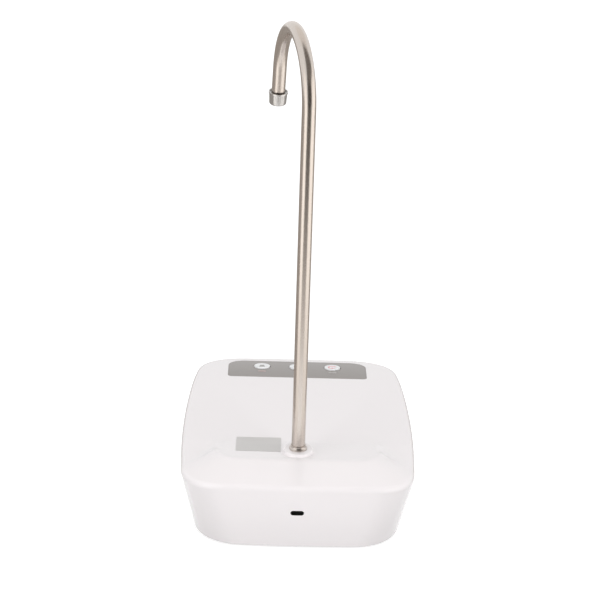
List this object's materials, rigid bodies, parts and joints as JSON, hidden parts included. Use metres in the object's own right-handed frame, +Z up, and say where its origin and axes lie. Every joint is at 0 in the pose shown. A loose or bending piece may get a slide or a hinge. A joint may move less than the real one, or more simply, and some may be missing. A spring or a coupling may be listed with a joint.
{
  "type": "bottled water pump",
  "caption": "Low desktop pump that draws bottled water through a hose and pours it from a tall swivelling gooseneck over a cup deck, worked from a key panel.",
  "frame": {"origin": "on the table, at the centre of the housing's outline", "axes": "+Z up; -Y towards the user, where the key panel is; +Y towards the charging slot; +X is the user's right as they face the keys, and the side with the hose gap"},
  "size_m": [0.1402, 0.1944, 0.2936],
  "materials": {
    "shell_plastic": "glossy white moulding",
    "cover_plastic": "fine spark-eroded grain, white",
    "foot_rubber": "matt dark grey",
    "panel_plastic": "smooth warm grey film",
    "key_plastic": "satin white",
    "switch_plastic": "black moulding",
    "board_laminate": "green solder mask",
    "screw_steel": "plated steel",
    "polished_steel": "polished",
    "spout_steel": "brushed stainless pipe",
    "nozzle_steel": "finely grooved stainless",
    "moulded_plastic": "natural moulding",
    "can_steel": "bright drawn steel",
    "cap_plastic": "black moulding",
    "magnet_ferrite": "dull ferrite",
    "rotor_iron": "laminations with copper turns",
    "hose_silicone": "milky silicone",
    "seal_rubber": "black seal rubber",
    "cell_can": "coloured sleeve over the can"
  },
  "bodies": {
    "base": {"top_shell": "shell_plastic", "bottom_cover": "cover_plastic", "rubber_feet": "foot_rubber", "case_screws": "screw_steel", "control_panel": "panel_plastic", "key_switches": "switch_plastic", "key_board": "board_laminate", "key_board_screws": "screw_steel", "spout_collar": "polished_steel", "spout_socket": "moulded_plastic", "motor_can": "can_steel", "motor_end_cap": "cap_plastic", "motor_magnets": "magnet_ferrite", "motor_strap": "moulded_plastic", "pump_crankcase": "moulded_plastic", "pump_wobble_plate": "moulded_plastic", "pump_diaphragm": "seal_rubber", "pump_valve_plate": "moulded_plastic", "pump_cover": "moulded_plastic", "pump_screws": "screw_steel", "inlet_fitting": "moulded_plastic", "inlet_hose": "hose_silicone", "outlet_hose": "hose_silicone", "battery_cell": "cell_can", "battery_strap": "moulded_plastic", "strap_screws": "screw_steel", "main_board": "board_laminate", "main_board_screws": "screw_steel", "usb_socket": "can_steel"},
    "spout": {"spout_tube": "spout_steel", "spout_plug": "moulded_plastic", "spout_seals": "seal_rubber", "nozzle_collar": "nozzle_steel", "nozzle_strainer": "moulded_plastic"},
    "left_key": {"button_left": "key_plastic", "plunger_left": "switch_plastic"},
    "middle_key": {"button_middle": "key_plastic", "plunger_middle": "switch_plastic"},
    "right_key": {"button_right": "key_plastic", "plunger_right": "switch_plastic"},
    "motor_armature": {"motor_shaft": "screw_steel", "motor_rotor": "rotor_iron", "pump_eccentric": "moulded_plastic"}
  },
  "joints": [
    {"name": "spout_swivel", "type": "hinge", "parent": "base", "child": "spout", "pos_m": [0, 0.06, 0.0385], "axis": [0, 0, 1], "continuous": true},
    {"name": "left_key_press", "type": "slide", "parent": "base", "child": "left_key", "axis": [0, 0.122, -0.9925], "range_m": [0, 0.0005], "stiffness_N_per_m": 1500, "springref_m": -0.0005},
    {"name": "middle_key_press", "type": "slide", "parent": "base", "child": "middle_key", "axis": [0, 0.122, -0.9925], "range_m": [0, 0.0005], "stiffness_N_per_m": 1500, "springref_m": -0.0005},
    {"name": "right_key_press", "type": "slide", "parent": "base", "child": "right_key", "axis": [0, 0.122, -0.9925], "range_m": [0, 0.0005], "stiffness_N_per_m": 1500, "springref_m": -0.0005},
    {"name": "motor_spin", "type": "hinge", "parent": "base", "child": "motor_armature", "pos_m": [0, -0.022, 0.017], "axis": [1, 0, 0], "continuous": true}
  ]
}
